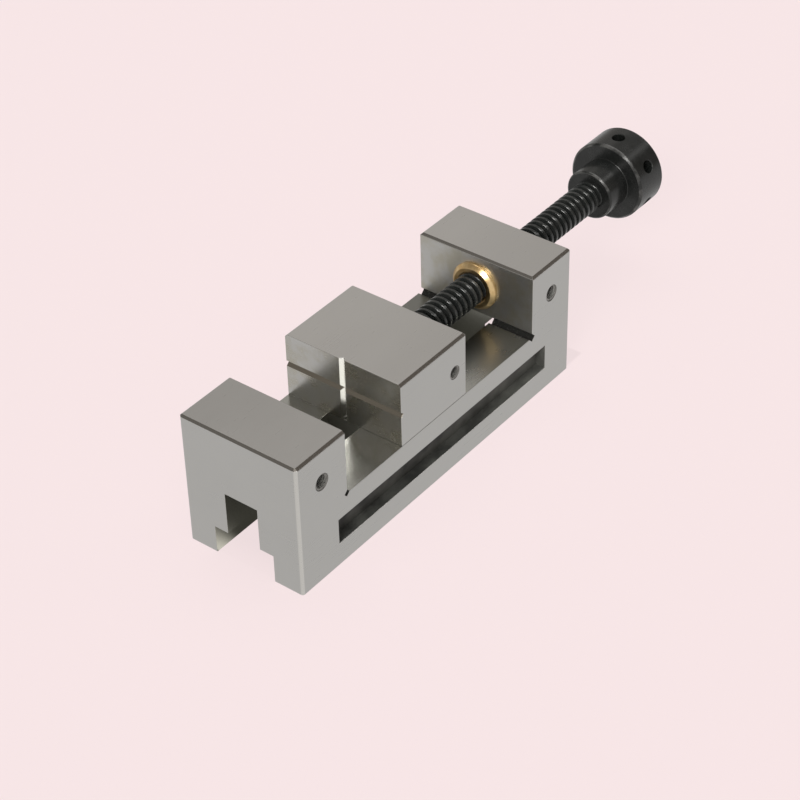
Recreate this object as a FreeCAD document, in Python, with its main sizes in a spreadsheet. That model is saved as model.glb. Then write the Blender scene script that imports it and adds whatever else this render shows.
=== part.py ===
import FreeCAD, Part
import os
import re
import Sketcher

# Precision grinding vise of the screw type: one ground steel block that is fixed jaw, bed and
# rear block, and a movable jaw that slides on the bed, pushed and pulled by a trapezoidal screw.
# Millimetres. X runs along the vise towards the knob, Z is up and the vise stands on Z = 0.
# The origin is under the middle of the whole length, with the jaws as far open as at rest.
# Left and right are as the operator sees them, standing at the knob: right is +Y.
# Threads are drawn as plain cylinders at their nominal size, inside and out.

SIZES = {
    # Ground block
    "body_width": 50.0,
    "body_height": 54.0,
    "fixed_jaw_length": 25.0,
    "bed_length": 106.5,
    "rear_block_length": 23.5,
    "bed_height": 28.0,
    "corner_chamfer": 0.6,
    "top_chamfer": 0.6,
    "base_chamfer": 0.3,
    "front_relief_mouth": 1.2,
    "front_relief_depth": 1.4,
    "rear_relief_mouth": 1.7,
    "rear_relief_depth": 1.6,
    # Stepped way under the bed, in which the keeper plate runs
    "channel_width": 25.6,
    "channel_height": 11.4,
    "slot_width": 14.0,
    "slot_rise": 0.5,
    # Clamping grooves along both sides
    "groove_front_wall": 19.8,
    "groove_rear_wall": 15.1,
    "groove_base": 9.4,
    "groove_height": 10.1,
    "groove_depth": 4.0,
    # Tapped holes in the sides
    "side_thread_size": 6.0,
    "side_hole_mouth": 6.6,
    "side_hole_depth": 15.0,
    "jaw_thread_size": 5.0,
    "jaw_hole_mouth": 5.4,
    "jaw_hole_from_rear": 6.8,
    # Movable jaw
    "jaw_length": 37.0,
    "rest_opening": 29.7,
    "slide_clearance": 0.03,
    "level_vee_height": 41.5,
    "level_vee_mouth": 2.3,
    "upright_vee_mouth": 2.5,
    "jaw_base_chamfer": 0.4,
    # Keeper plate, its screws and their spring washers
    "keeper_length": 30.0,
    "keeper_thickness": 8.0,
    "keeper_side_gap": 0.3,
    "keeper_chamfer": 0.5,
    "keeper_screw_spacing": 16.0,
    "keeper_screw_size": 5.0,
    "keeper_screw_grip": 10.0,
    "keeper_head_width": 8.5,
    "keeper_head_height": 5.0,
    "keeper_key_size": 4.0,
    "keeper_key_depth": 2.5,
    "keeper_hole_clearance": 0.25,
    "counterbore_clearance": 0.3,
    "washer_thickness": 1.2,
    "washer_width": 8.2,
    "washer_slit": 0.8,
    "tap_runout": 2.0,
    "thread_allowance": 0.01,
    # Lead screw and the hardened pad that it pushes on
    "screw_height": 41.0,
    "screw_size": 12.0,
    "screw_reach": 112.8,
    "nose_size": 9.0,
    "nose_length": 17.0,
    "nose_clearance": 0.05,
    "nose_chamfer": 0.8,
    "neck_size": 6.4,
    "neck_width": 3.4,
    "shoulder_gap": 0.3,
    "tail_size": 10.0,
    "tail_length": 18.0,
    "pad_thickness": 3.0,
    "pad_fit": 0.03,
    # Dog point screws that hold the nose of the lead screw in the jaw
    "dog_size": 3.0,
    "dog_gap": 0.15,
    "dog_setback": 0.6,
    "retaining_screw_recess": 4.0,
    "retaining_key_size": 2.5,
    "retaining_key_depth": 2.5,
    # Brass nut and the screws that lock it
    "nut_barrel_size": 16.0,
    "nut_flange_size": 19.0,
    "nut_flange_thickness": 2.5,
    "nut_flange_bevel": 1.4,
    "nut_rear_setback": 0.5,
    "nut_fit": 0.02,
    "thread_clearance": 0.05,
    "lock_screw_recess": 9.0,
    "lock_key_size": 3.0,
    "lock_key_depth": 2.5,
    # Knob
    "hub_size": 20.0,
    "hub_length": 11.8,
    "hub_chamfer": 0.6,
    "disc_size": 32.0,
    "disc_length": 15.7,
    "disc_chamfer": 0.8,
    "tail_fit": 0.02,
    "tail_end_gap": 0.5,
    "tommy_hole_size": 5.0,
    "tommy_hole_depth": 8.0,
    "tommy_hole_mouth": 5.6,
    "tommy_hole_count": 6,
    "knob_key_size": 8.0,
    "knob_key_depth": 7.0,
    "set_screw_size": 4.0,
    "set_screw_recess": 0.6,
    "set_screw_from_front": 5.5,
    "set_key_size": 2.0,
    "set_key_depth": 1.8,
}

# Places and fits that follow from the sizes
PLACES = {
    "length": "fixed_jaw_length + rest_opening + jaw_length + screw_reach + hub_length + disc_length",
    "front_x": "-length / 2",
    "bed_front_x": "front_x + fixed_jaw_length",
    "bed_rear_x": "bed_front_x + bed_length",
    "rear_x": "bed_rear_x + rear_block_length",
    "jaw_front_x": "bed_front_x + rest_opening",
    "jaw_rear_x": "jaw_front_x + jaw_length",
    "jaw_middle_x": "jaw_front_x + jaw_length / 2",
    "nose_front_x": "jaw_rear_x - nose_length",
    "dog_x": "jaw_rear_x - jaw_hole_from_rear",
    "hub_front_x": "jaw_rear_x + screw_reach",
    "slot_roof_z": "bed_height + slot_rise",
    "jaw_base_z": "bed_height + slide_clearance",
    "keeper_top_z": "channel_height - slide_clearance",
    "keeper_base_z": "keeper_top_z - keeper_thickness",
    "keeper_seat_z": "keeper_base_z + keeper_head_height + washer_thickness",
    "keeper_shank": "washer_thickness + keeper_top_z - keeper_seat_z",
    "nose_bore": "nose_size + 2 * nose_clearance",
    "nut_bore": "nut_barrel_size + 2 * nut_fit",
    "nut_length": "nut_flange_thickness + rear_block_length - nut_rear_setback",
}


def in_sheet(formula):
    """Write a formula of size names as an expression on the cells of the sheet."""
    def cell(word):
        return "sizes." + word[0] if word[0] in SIZES or word[0] in PLACES else word[0]
    return re.sub("[a-z_]+", cell, formula)


def bind(thing, property_name, formula):
    """Tie a property of a feature to the sheet."""
    thing.setExpression(property_name, in_sheet(formula))


def reading(thing, formula):
    """Work a formula out as a plain number."""
    return float(thing.evalExpression(in_sheet(formula)))


def fill_sheet(doc):
    """Write every size as a plain number, and every place as a formula of the sizes."""
    sheet = doc.addObject("Spreadsheet::Sheet", "sizes")
    cells = [(name, str(number)) for name, number in SIZES.items()]
    cells += [(name, "=" + formula) for name, formula in PLACES.items()]
    for row, (name, content) in enumerate(cells, start=1):
        sheet.set("A%d" % row, name)
        sheet.set("B%d" % row, content)
        sheet.setAlias("B%d" % row, name)
    doc.recompute()


def start_body(doc, name):
    """Add an empty body whose label is the name of its piece."""
    body = doc.addObject("PartDesign::Body", name)
    body.Label = name
    return body


def place_piece(piece, place, turn_axis=FreeCAD.Vector(0, 0, 1), turn=0):
    """Turn a piece about its own origin, and put that origin at three formulas."""
    piece.Placement = FreeCAD.Placement(FreeCAD.Vector(), FreeCAD.Rotation(turn_axis, turn))
    for letter, formula in zip("xyz", place):
        bind(piece, "Placement.Base." + letter, formula)


def origin_part(body, role):
    """Find one of the body's own origin planes or axes."""
    return next(item for item in body.Origin.OriginFeatures if item.Role == role)


def add_sketch(body, name, role, offset="0"):
    """Lay an empty sketch on an origin plane of the body, moved out along its normal."""
    sketch = body.newObject("Sketcher::SketchObject", name)
    sketch.AttachmentSupport = [(origin_part(body, role), "")]
    sketch.MapMode = "FlatFace"
    bind(sketch, "AttachmentOffset.Base.z", offset)
    return sketch


def hold_point(sketch, geometry, vertex, place):
    """Hold one point of a sketch at a place given by two formulas."""
    for kind, formula in zip(("DistanceX", "DistanceY"), place):
        distance = Sketcher.Constraint(kind, -1, 1, geometry, vertex, reading(sketch, formula))
        bind(sketch, "Constraints[%d]" % sketch.addConstraint(distance), formula)


def draw_outline(sketch, places):
    """Draw a closed outline of straight lines through the places."""
    points = [FreeCAD.Vector(*[reading(sketch, part) for part in place], 0) for place in places]
    first = sketch.GeometryCount
    count = len(points)
    for index in range(count):
        sketch.addGeometry(Part.LineSegment(points[index], points[(index + 1) % count]), False)
    for index in range(count):
        following = first + (index + 1) % count
        sketch.addConstraint(Sketcher.Constraint("Coincident", first + index, 2, following, 1))
        hold_point(sketch, first + index, 1, places[index])


def draw_circle(sketch, place, diameter):
    """Draw a circle round a place."""
    middle = FreeCAD.Vector(*[reading(sketch, part) for part in place], 0)
    size = reading(sketch, diameter)
    circle = sketch.addGeometry(Part.Circle(middle, FreeCAD.Vector(0, 0, 1), size / 2), False)
    hold_point(sketch, circle, 3, place)
    width = Sketcher.Constraint("Diameter", circle, size)
    bind(sketch, "Constraints[%d]" % sketch.addConstraint(width), diameter)


def draw_hexagon(sketch, across_flats):
    """Draw a hexagon round the origin of the sketch, with two of its flats upright."""
    flat = across_flats + " / 2"
    side = across_flats + " / (2 * sqrt(3))"
    point = across_flats + " / sqrt(3)"
    draw_outline(sketch, [(flat, "-" + side), (flat, side), ("0", point),
                          ("-" + flat, side), ("-" + flat, "-" + side), ("0", "-" + point)])


def add_pad(body, sketch, length, both_ways=False):
    """Pad a sketch along its normal, or by half the length each way."""
    pad = body.newObject("PartDesign::Pad", sketch.Name + "_pad")
    pad.Profile = sketch
    pad.SideType = "Symmetric" if both_ways else "One side"
    bind(pad, "Length", length)
    return pad


def add_pocket(body, sketch, length=None, both_ways=False, along_normal=False):
    """Cut a sketch into the body by a length or, without one, right through."""
    pocket = body.newObject("PartDesign::Pocket", sketch.Name + "_pocket")
    pocket.Profile = sketch
    pocket.SideType = "Symmetric" if both_ways else "One side"
    pocket.Reversed = along_normal
    if length is None:
        pocket.Type = "ThroughAll"
    else:
        bind(pocket, "Length", length)
    return pocket


def add_hole(body, sketch, diameter, depth, mouth):
    """Sink the circles of a sketch flat-bottomed and countersink their mouths at a right angle."""
    body.Document.recompute()
    hole = body.newObject("PartDesign::Hole", sketch.Name + "_drilled")
    hole.Profile = sketch
    hole.DepthType = "Dimension"
    hole.DrillPoint = "Flat"
    hole.HoleCutType = "Countersink"
    hole.HoleCutCustomValues = True
    hole.HoleCutCountersinkAngle = 90
    bind(hole, "Diameter", diameter)
    bind(hole, "Depth", depth)
    bind(hole, "HoleCutDiameter", mouth)
    return hole


def mirror_sides(body, features):
    """Repeat features of one side of the body on its other side."""
    body.Document.recompute()
    mirrored = body.newObject("PartDesign::Mirrored", features[0].Name + "_mirrored")
    mirrored.Originals = features
    mirrored.MirrorPlane = (origin_part(body, "XZ_Plane"), [""])
    body.Tip = mirrored
    body.Document.recompute()


def add_chamfer(body, size, test):
    """Chamfer the edges of the body so far that pass a test."""
    body.Document.recompute()
    base = body.Tip
    names = ["Edge%d" % number for number, edge in enumerate(base.Shape.Edges, start=1) if test(edge)]
    if not names:
        raise RuntimeError("no edge of %s passes the test for %s" % (body.Label, size))
    chamfer = body.newObject("PartDesign::Chamfer", "%s_%s" % (body.Name, size))
    chamfer.Base = (base, names)
    bind(chamfer, "Size", size)
    body.Document.recompute()


def lies_at(edge, letter, places):
    """Tell whether a whole edge lies at one of some places along an axis."""
    low = getattr(edge.BoundBox, letter + "Min")
    high = getattr(edge.BoundBox, letter + "Max")
    return any(abs(low - place) < 0.01 and abs(high - place) < 0.01 for place in places)


def turn_piece(body, steps):
    """Turn a stepped shaft about the body's X axis from (end, diameter) steps, starting at X = 0."""
    profile = add_sketch(body, body.Name + "_profile", "XZ_Plane")
    places = [("0", "0")]
    start = "0"
    for end, diameter in steps:
        radius = "(%s) / 2" % diameter
        places += [(start, radius), (end, radius)]
        start = end
    draw_outline(profile, places + [(start, "0")])
    turned = body.newObject("PartDesign::Revolution", body.Name + "_turned")
    turned.Profile = profile
    turned.ReferenceAxis = (profile, ["H_Axis"])
    turned.Angle = 360


def cut_key_socket(body, across_flats, depth):
    """Sink a hexagon socket into the end of a turned piece at X = 0."""
    socket = add_sketch(body, body.Name + "_socket", "YZ_Plane")
    draw_hexagon(socket, across_flats)
    add_pocket(body, socket, depth, along_normal=True)


def make_vise_body(doc):
    """The one-piece ground block: fixed jaw, bed and rear block, with its ways and holes."""
    body = start_body(doc, "vise_body")

    side_view = add_sketch(body, "body_side_view", "XZ_Plane")
    draw_outline(side_view, [
        ("front_x", "0"),
        ("rear_x", "0"),
        ("rear_x", "body_height"),
        ("bed_rear_x", "body_height"),
        ("bed_rear_x", "bed_height + rear_relief_mouth"),
        ("bed_rear_x + rear_relief_depth", "bed_height + rear_relief_mouth - rear_relief_depth"),
        ("bed_rear_x - rear_relief_mouth + rear_relief_depth", "bed_height - rear_relief_depth"),
        ("bed_rear_x - rear_relief_mouth", "bed_height"),
        ("bed_front_x + front_relief_mouth", "bed_height"),
        ("bed_front_x + front_relief_mouth - front_relief_depth", "bed_height - front_relief_depth"),
        ("bed_front_x - front_relief_depth", "bed_height + front_relief_mouth - front_relief_depth"),
        ("bed_front_x", "bed_height + front_relief_mouth"),
        ("bed_front_x", "body_height"),
        ("front_x", "body_height"),
    ])
    add_pad(body, side_view, "body_width", both_ways=True)

    way = add_sketch(body, "stepped_way", "YZ_Plane")
    draw_outline(way, [
        ("-channel_width / 2", "0"),
        ("channel_width / 2", "0"),
        ("channel_width / 2", "channel_height"),
        ("slot_width / 2", "channel_height"),
        ("slot_width / 2", "slot_roof_z"),
        ("-slot_width / 2", "slot_roof_z"),
        ("-slot_width / 2", "channel_height"),
        ("-channel_width / 2", "channel_height"),
    ])
    add_pocket(body, way, both_ways=True)

    nut_seat = add_sketch(body, "nut_seat", "YZ_Plane", offset="rear_x")
    draw_circle(nut_seat, ("0", "screw_height"), "nut_bore")
    add_pocket(body, nut_seat, "rear_block_length + nut_flange_thickness")

    groove = add_sketch(body, "side_groove", "XZ_Plane", offset="body_width / 2")
    draw_outline(groove, [
        ("front_x + groove_front_wall", "groove_base"),
        ("rear_x - groove_rear_wall", "groove_base"),
        ("rear_x - groove_rear_wall", "groove_base + groove_height"),
        ("front_x + groove_front_wall", "groove_base + groove_height"),
    ])
    groove_cut = add_pocket(body, groove, "groove_depth")

    jaw_hole = add_sketch(body, "fixed_jaw_hole", "XZ_Plane", offset="body_width / 2")
    draw_circle(jaw_hole, ("front_x + fixed_jaw_length / 2", "screw_height"), "side_thread_size")
    jaw_hole_cut = add_hole(body, jaw_hole, "side_thread_size", "side_hole_depth", "side_hole_mouth")

    lock_hole = add_sketch(body, "nut_lock_hole", "XZ_Plane", offset="body_width / 2")
    draw_circle(lock_hole, ("rear_x - rear_block_length / 2", "screw_height"), "side_thread_size")
    lock_hole_cut = add_hole(body, lock_hole, "side_thread_size", "(body_width - nut_bore / 2) / 2",
                             "side_hole_mouth")
    mirror_sides(body, [groove_cut, jaw_hole_cut, lock_hole_cut])

    ends = [reading(body, "front_x"), reading(body, "rear_x")]
    sides = [reading(body, "-body_width / 2"), reading(body, "body_width / 2")]
    channel_walls = [reading(body, "-channel_width / 2"), reading(body, "channel_width / 2")]
    top = [reading(body, "body_height")]
    clamping_face = [reading(body, "bed_front_x")]
    add_chamfer(body, "corner_chamfer",
                lambda edge: lies_at(edge, "X", ends) and lies_at(edge, "Y", sides))
    add_chamfer(body, "top_chamfer",
                lambda edge: lies_at(edge, "Z", top) and not lies_at(edge, "X", clamping_face))
    add_chamfer(body, "base_chamfer",
                lambda edge: lies_at(edge, "Z", [0]) and not lies_at(edge, "Y", channel_walls))
    return body


def make_movable_jaw(doc):
    """The sliding jaw with its tongue, vee grooves, seat for the nose of the screw and tapped holes."""
    body = start_body(doc, "movable_jaw")

    block = add_sketch(body, "jaw_end_view", "YZ_Plane", offset="jaw_front_x")
    draw_outline(block, [
        ("-slot_width / 2 + slide_clearance", "keeper_top_z"),
        ("slot_width / 2 - slide_clearance", "keeper_top_z"),
        ("slot_width / 2 - slide_clearance", "jaw_base_z"),
        ("body_width / 2", "jaw_base_z"),
        ("body_width / 2", "body_height"),
        ("-body_width / 2", "body_height"),
        ("-body_width / 2", "jaw_base_z"),
        ("-slot_width / 2 + slide_clearance", "jaw_base_z"),
    ])
    add_pad(body, block, "jaw_length")

    level_vee = add_sketch(body, "level_vee", "XZ_Plane")
    draw_outline(level_vee, [
        ("jaw_front_x", "level_vee_height - level_vee_mouth / 2"),
        ("jaw_front_x + level_vee_mouth / 2", "level_vee_height"),
        ("jaw_front_x", "level_vee_height + level_vee_mouth / 2"),
    ])
    add_pocket(body, level_vee, both_ways=True)

    upright_vee = add_sketch(body, "upright_vee", "XY_Plane", offset="jaw_base_z")
    draw_outline(upright_vee, [
        ("jaw_front_x", "-upright_vee_mouth / 2"),
        ("jaw_front_x + upright_vee_mouth / 2", "0"),
        ("jaw_front_x", "upright_vee_mouth / 2"),
    ])
    add_pocket(body, upright_vee, along_normal=True)

    nose_seat = add_sketch(body, "nose_seat", "YZ_Plane", offset="jaw_rear_x")
    draw_circle(nose_seat, ("0", "screw_height"), "nose_bore")
    add_pocket(body, nose_seat, "nose_length + nose_clearance + pad_thickness")

    keeper_tap = add_sketch(body, "keeper_tap", "XY_Plane", offset="keeper_top_z")
    for sign in "-+":
        draw_circle(keeper_tap, ("jaw_middle_x %s keeper_screw_spacing / 2" % sign, "0"),
                    "keeper_screw_size + 2 * thread_allowance")
    add_pocket(body, keeper_tap, "keeper_screw_grip + tap_runout", along_normal=True)

    side_tap = add_sketch(body, "retaining_hole", "XZ_Plane", offset="body_width / 2")
    draw_circle(side_tap, ("dog_x", "screw_height"), "jaw_thread_size")
    side_tap_cut = add_hole(body, side_tap, "jaw_thread_size", "(body_width - nose_bore / 2) / 2",
                            "jaw_hole_mouth")
    mirror_sides(body, [side_tap_cut])

    rear = [reading(body, "jaw_rear_x")]
    vee_end = reading(body, "jaw_front_x + upright_vee_mouth")
    sides = [reading(body, "-body_width / 2"), reading(body, "body_width / 2")]
    top = [reading(body, "body_height")]
    base = [reading(body, "jaw_base_z")]
    add_chamfer(body, "corner_chamfer",
                lambda edge: lies_at(edge, "X", rear) and lies_at(edge, "Y", sides))
    add_chamfer(body, "top_chamfer",
                lambda edge: lies_at(edge, "Z", top) and edge.BoundBox.XMax > vee_end)
    add_chamfer(body, "jaw_base_chamfer",
                lambda edge: lies_at(edge, "Z", base) and lies_at(edge, "X", rear))
    return body


def make_keeper_plate(doc):
    """The plate under the shoulders of the way that keeps the jaw from lifting."""
    body = start_body(doc, "keeper_plate")
    plan = add_sketch(body, "keeper_plan", "XY_Plane", offset="keeper_base_z")
    draw_outline(plan, [
        ("jaw_middle_x - keeper_length / 2", "-channel_width / 2 + keeper_side_gap"),
        ("jaw_middle_x + keeper_length / 2", "-channel_width / 2 + keeper_side_gap"),
        ("jaw_middle_x + keeper_length / 2", "channel_width / 2 - keeper_side_gap"),
        ("jaw_middle_x - keeper_length / 2", "channel_width / 2 - keeper_side_gap"),
    ])
    add_pad(body, plan, "keeper_thickness")
    holes = add_sketch(body, "keeper_holes", "XY_Plane", offset="keeper_base_z")
    counterbores = add_sketch(body, "keeper_counterbores", "XY_Plane", offset="keeper_base_z")
    for sign in "-+":
        place = ("jaw_middle_x %s keeper_screw_spacing / 2" % sign, "0")
        draw_circle(holes, place, "keeper_screw_size + 2 * keeper_hole_clearance")
        draw_circle(counterbores, place, "keeper_head_width + 2 * counterbore_clearance")
    add_pocket(body, holes, along_normal=True)
    add_pocket(body, counterbores, "keeper_seat_z - keeper_base_z", along_normal=True)
    base = [reading(body, "keeper_base_z")]
    add_chamfer(body, "keeper_chamfer",
                lambda edge: lies_at(edge, "Z", base) and isinstance(edge.Curve, Part.Line))
    return body


def make_keeper_screw(doc, name, sign):
    """A cap screw, head down in its counterbore, that draws the keeper plate up to the tongue."""
    body = start_body(doc, name)
    turn_piece(body, [
        ("keeper_head_height", "keeper_head_width"),
        ("keeper_head_height + keeper_shank + keeper_screw_grip", "keeper_screw_size"),
    ])
    cut_key_socket(body, "keeper_key_size", "keeper_key_depth")
    place_piece(body, ("jaw_middle_x %s keeper_screw_spacing / 2" % sign, "0", "keeper_base_z"),
                FreeCAD.Vector(0, 1, 0), -90)
    return body


def make_keeper_washer(doc, name, sign):
    """The split spring washer between a keeper screw's head and its seat."""
    ring = doc.addObject("Part::Cylinder", name + "_ring")
    hole = doc.addObject("Part::Cylinder", name + "_hole")
    slit = doc.addObject("Part::Box", name + "_slit")
    for round_part, diameter in ((ring, "washer_width"),
                                 (hole, "keeper_screw_size + keeper_hole_clearance")):
        bind(round_part, "Radius", "(%s) / 2" % diameter)
        bind(round_part, "Height", "washer_thickness")
    bind(slit, "Length", "washer_width")
    bind(slit, "Width", "washer_slit")
    bind(slit, "Height", "washer_thickness")
    place_piece(slit, ("0", "-washer_slit / 2", "0"))
    pierced = doc.addObject("Part::Cut", name + "_pierced")
    pierced.Base = ring
    pierced.Tool = hole
    washer = doc.addObject("Part::Cut", name)
    washer.Label = name
    washer.Base = pierced
    washer.Tool = slit
    place_piece(washer, ("jaw_middle_x %s keeper_screw_spacing / 2" % sign, "0",
                         "keeper_seat_z - washer_thickness"))
    return washer


def make_thrust_pad(doc):
    """The hardened pad at the bottom of the jaw's bore that takes the screw's push."""
    pad = doc.addObject("Part::Cylinder", "thrust_pad")
    pad.Label = "thrust_pad"
    bind(pad, "Radius", "nose_bore / 2 - pad_fit")
    bind(pad, "Height", "pad_thickness")
    place_piece(pad, ("nose_front_x - nose_clearance - pad_thickness", "0", "screw_height"),
                FreeCAD.Vector(0, 1, 0), 90)
    return pad


def make_side_screw(doc, name, steps, key, place, turn):
    """A headless screw with a key socket, laid across the vise from its outer end inwards."""
    body = start_body(doc, name)
    turn_piece(body, steps)
    cut_key_socket(body, key + "_size", key + "_depth")
    place_piece(body, place, turn=turn)
    return body


def make_retaining_screw(doc, name, sign, turn):
    """A dog point screw whose point runs in the neck of the lead screw and holds it in the jaw."""
    thread_end = "body_width / 2 - retaining_screw_recess - nose_bore / 2 - dog_setback"
    dog_end = "body_width / 2 - retaining_screw_recess - neck_size / 2 - dog_gap"
    return make_side_screw(
        doc, name,
        [(thread_end, "jaw_thread_size - 2 * thread_allowance"), (dog_end, "dog_size")],
        "retaining_key",
        ("dog_x", "%s(body_width / 2 - retaining_screw_recess)" % sign, "screw_height"), turn)


def make_nut_lock_screw(doc, name, sign, turn):
    """A headless screw that bears on the barrel of the nut and stops it from turning."""
    length = "body_width / 2 - lock_screw_recess - nut_barrel_size / 2"
    return make_side_screw(
        doc, name,
        [(length, "side_thread_size - 2 * thread_allowance")],
        "lock_key",
        ("rear_x - rear_block_length / 2", "%s(body_width / 2 - lock_screw_recess)" % sign,
         "screw_height"), turn)


def make_screw_nut(doc):
    """The brass nut, with a bevelled flange against the front of the rear block."""
    body = start_body(doc, "screw_nut")
    turn_piece(body, [
        ("nut_flange_thickness", "nut_flange_size"),
        ("nut_length", "nut_barrel_size"),
    ])
    bore = add_sketch(body, "nut_thread", "YZ_Plane")
    draw_circle(bore, ("0", "0"), "screw_size + 2 * thread_clearance")
    add_pocket(body, bore, along_normal=True)
    flange = reading(body, "nut_flange_size")
    add_chamfer(body, "nut_flange_bevel",
                lambda edge: lies_at(edge, "X", [0]) and abs(edge.BoundBox.YLength - flange) < 0.01)
    place_piece(body, ("bed_rear_x - nut_flange_thickness", "0", "screw_height"))
    return body


def make_lead_screw(doc):
    """The screw: a nose with a neck for the jaw, the threaded length and a tail for the knob."""
    body = start_body(doc, "lead_screw")
    turn_piece(body, [
        ("nose_length - jaw_hole_from_rear - neck_width / 2", "nose_size"),
        ("nose_length - jaw_hole_from_rear + neck_width / 2", "neck_size"),
        ("nose_length + shoulder_gap", "nose_size"),
        ("nose_length + screw_reach", "screw_size"),
        ("nose_length + screw_reach + tail_length", "tail_size"),
    ])
    add_chamfer(body, "nose_chamfer", lambda edge: lies_at(edge, "X", [0]))
    place_piece(body, ("nose_front_x", "0", "screw_height"))
    return body


def make_knob(doc):
    """The knob: a hub and a disc with radial holes for a tommy bar and a key socket behind."""
    body = start_body(doc, "knob")
    turn_piece(body, [
        ("hub_length", "hub_size"),
        ("hub_length + disc_length", "disc_size"),
    ])
    hub = reading(body, "hub_size")
    disc = reading(body, "disc_size")
    add_chamfer(body, "hub_chamfer",
                lambda edge: lies_at(edge, "X", [0]) and abs(edge.BoundBox.YLength - hub) < 0.01)
    add_chamfer(body, "disc_chamfer",
                lambda edge: abs(edge.BoundBox.YLength - disc) < 0.01 and edge.BoundBox.XLength < 0.01)

    tail_seat = add_sketch(body, "tail_seat", "YZ_Plane")
    draw_circle(tail_seat, ("0", "0"), "tail_size + 2 * tail_fit")
    add_pocket(body, tail_seat, "tail_length + tail_end_gap", along_normal=True)

    key_socket = add_sketch(body, "knob_socket", "YZ_Plane", offset="hub_length + disc_length")
    draw_hexagon(key_socket, "knob_key_size")
    add_pocket(body, key_socket, "knob_key_depth")

    set_tap = add_sketch(body, "set_screw_hole", "XZ_Plane", offset="-hub_size / 2")
    draw_circle(set_tap, ("set_screw_from_front", "0"), "set_screw_size")
    add_pocket(body, set_tap, "(hub_size - tail_size / 2) / 2", along_normal=True)

    cutter = add_sketch(body, "tommy_hole", "XZ_Plane")
    bind(cutter, "AttachmentOffset.Base.x", "hub_length + disc_length / 2")
    draw_outline(cutter, [
        ("0", "disc_size / 2 - tommy_hole_depth"),
        ("tommy_hole_size / 2", "disc_size / 2 - tommy_hole_depth"),
        ("tommy_hole_size / 2", "disc_size / 2 - (tommy_hole_mouth - tommy_hole_size) / 2"),
        ("tommy_hole_mouth / 2 + tommy_hole_size / 2", "disc_size / 2 + tommy_hole_size / 2"),
        ("0", "disc_size / 2 + tommy_hole_size / 2"),
    ])
    bar_hole_cut = body.newObject("PartDesign::Groove", "tommy_hole_cut")
    bar_hole_cut.Profile = cutter
    bar_hole_cut.ReferenceAxis = (cutter, ["V_Axis"])
    bar_hole_cut.Angle = 360
    doc.recompute()
    ring = body.newObject("PartDesign::PolarPattern", "tommy_hole_ring")
    ring.Originals = [bar_hole_cut]
    ring.Axis = (origin_part(body, "X_Axis"), [""])
    ring.Angle = 360
    bind(ring, "Occurrences", "tommy_hole_count")
    body.Tip = ring
    place_piece(body, ("hub_front_x", "0", "screw_height"))
    return body


def make_knob_set_screw(doc):
    """The headless screw in the hub that fixes the knob on the tail of the lead screw."""
    length = "hub_size / 2 - set_screw_recess - tail_size / 2"
    return make_side_screw(
        doc, "knob_set_screw",
        [(length, "set_screw_size - 2 * thread_allowance")],
        "set_key",
        ("hub_front_x + set_screw_from_front", "hub_size / 2 - set_screw_recess", "screw_height"), -90)


def check_document(doc, pieces):
    """Stop if any feature failed or any piece isn't a single sound solid."""
    doc.recompute()
    failed = [item.Name for item in doc.Objects if "Invalid" in item.State or "Error" in item.State]
    if failed:
        raise RuntimeError("failed features: " + ", ".join(failed))
    for piece in pieces:
        if piece.Shape.isNull() or not piece.Shape.isValid() or len(piece.Shape.Solids) != 1:
            raise RuntimeError("%s isn't one valid solid" % piece.Label)


def main():
    """Build every piece, check it and write it to its own file."""
    doc = FreeCAD.newDocument("grinding_vise")
    fill_sheet(doc)
    pieces = [
        make_vise_body(doc),
        make_screw_nut(doc),
        make_nut_lock_screw(doc, "nut_lock_screw_left", "-", 90),
        make_nut_lock_screw(doc, "nut_lock_screw_right", "", -90),
        make_movable_jaw(doc),
        make_keeper_plate(doc),
        make_keeper_screw(doc, "keeper_screw_front", "-"),
        make_keeper_screw(doc, "keeper_screw_rear", "+"),
        make_keeper_washer(doc, "keeper_washer_front", "-"),
        make_keeper_washer(doc, "keeper_washer_rear", "+"),
        make_thrust_pad(doc),
        make_retaining_screw(doc, "retaining_screw_left", "-", 90),
        make_retaining_screw(doc, "retaining_screw_right", "", -90),
        make_lead_screw(doc),
        make_knob(doc),
        make_knob_set_screw(doc),
    ]
    check_document(doc, pieces)
    os.makedirs("parts", exist_ok=True)
    for piece in pieces:
        piece.Shape.exportStep("parts/%s.step" % piece.Label)
        box = piece.Shape.BoundBox
        print("%-22s volume %10.1f  x %7.2f %7.2f  y %7.2f %7.2f  z %6.2f %6.2f" % (
            piece.Label, piece.Shape.Volume,
            box.XMin, box.XMax, box.YMin, box.YMax, box.ZMin, box.ZMax))


main()
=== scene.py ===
import math

import bmesh
import bpy
from mathutils import Matrix, Vector


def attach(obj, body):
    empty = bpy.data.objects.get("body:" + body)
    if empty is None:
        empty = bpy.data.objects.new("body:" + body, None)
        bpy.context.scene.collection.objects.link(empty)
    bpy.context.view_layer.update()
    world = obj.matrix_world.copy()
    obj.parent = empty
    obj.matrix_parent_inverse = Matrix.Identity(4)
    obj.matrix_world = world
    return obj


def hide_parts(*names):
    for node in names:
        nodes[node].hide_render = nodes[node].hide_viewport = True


# Looks for the precision grinding vise, in the frame of the model: X runs from the fixed jaw to the
# knob and Z is up. Blender works in metres; the sizes and the material graphs below are in millimetres.

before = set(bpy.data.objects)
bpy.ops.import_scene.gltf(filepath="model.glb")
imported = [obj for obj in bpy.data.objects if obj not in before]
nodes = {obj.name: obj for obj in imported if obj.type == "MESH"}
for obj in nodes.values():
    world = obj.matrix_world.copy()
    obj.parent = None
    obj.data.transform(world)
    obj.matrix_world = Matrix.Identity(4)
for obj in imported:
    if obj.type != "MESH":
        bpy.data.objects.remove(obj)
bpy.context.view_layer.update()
scene = bpy.context.scene
MM = 0.001


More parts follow.
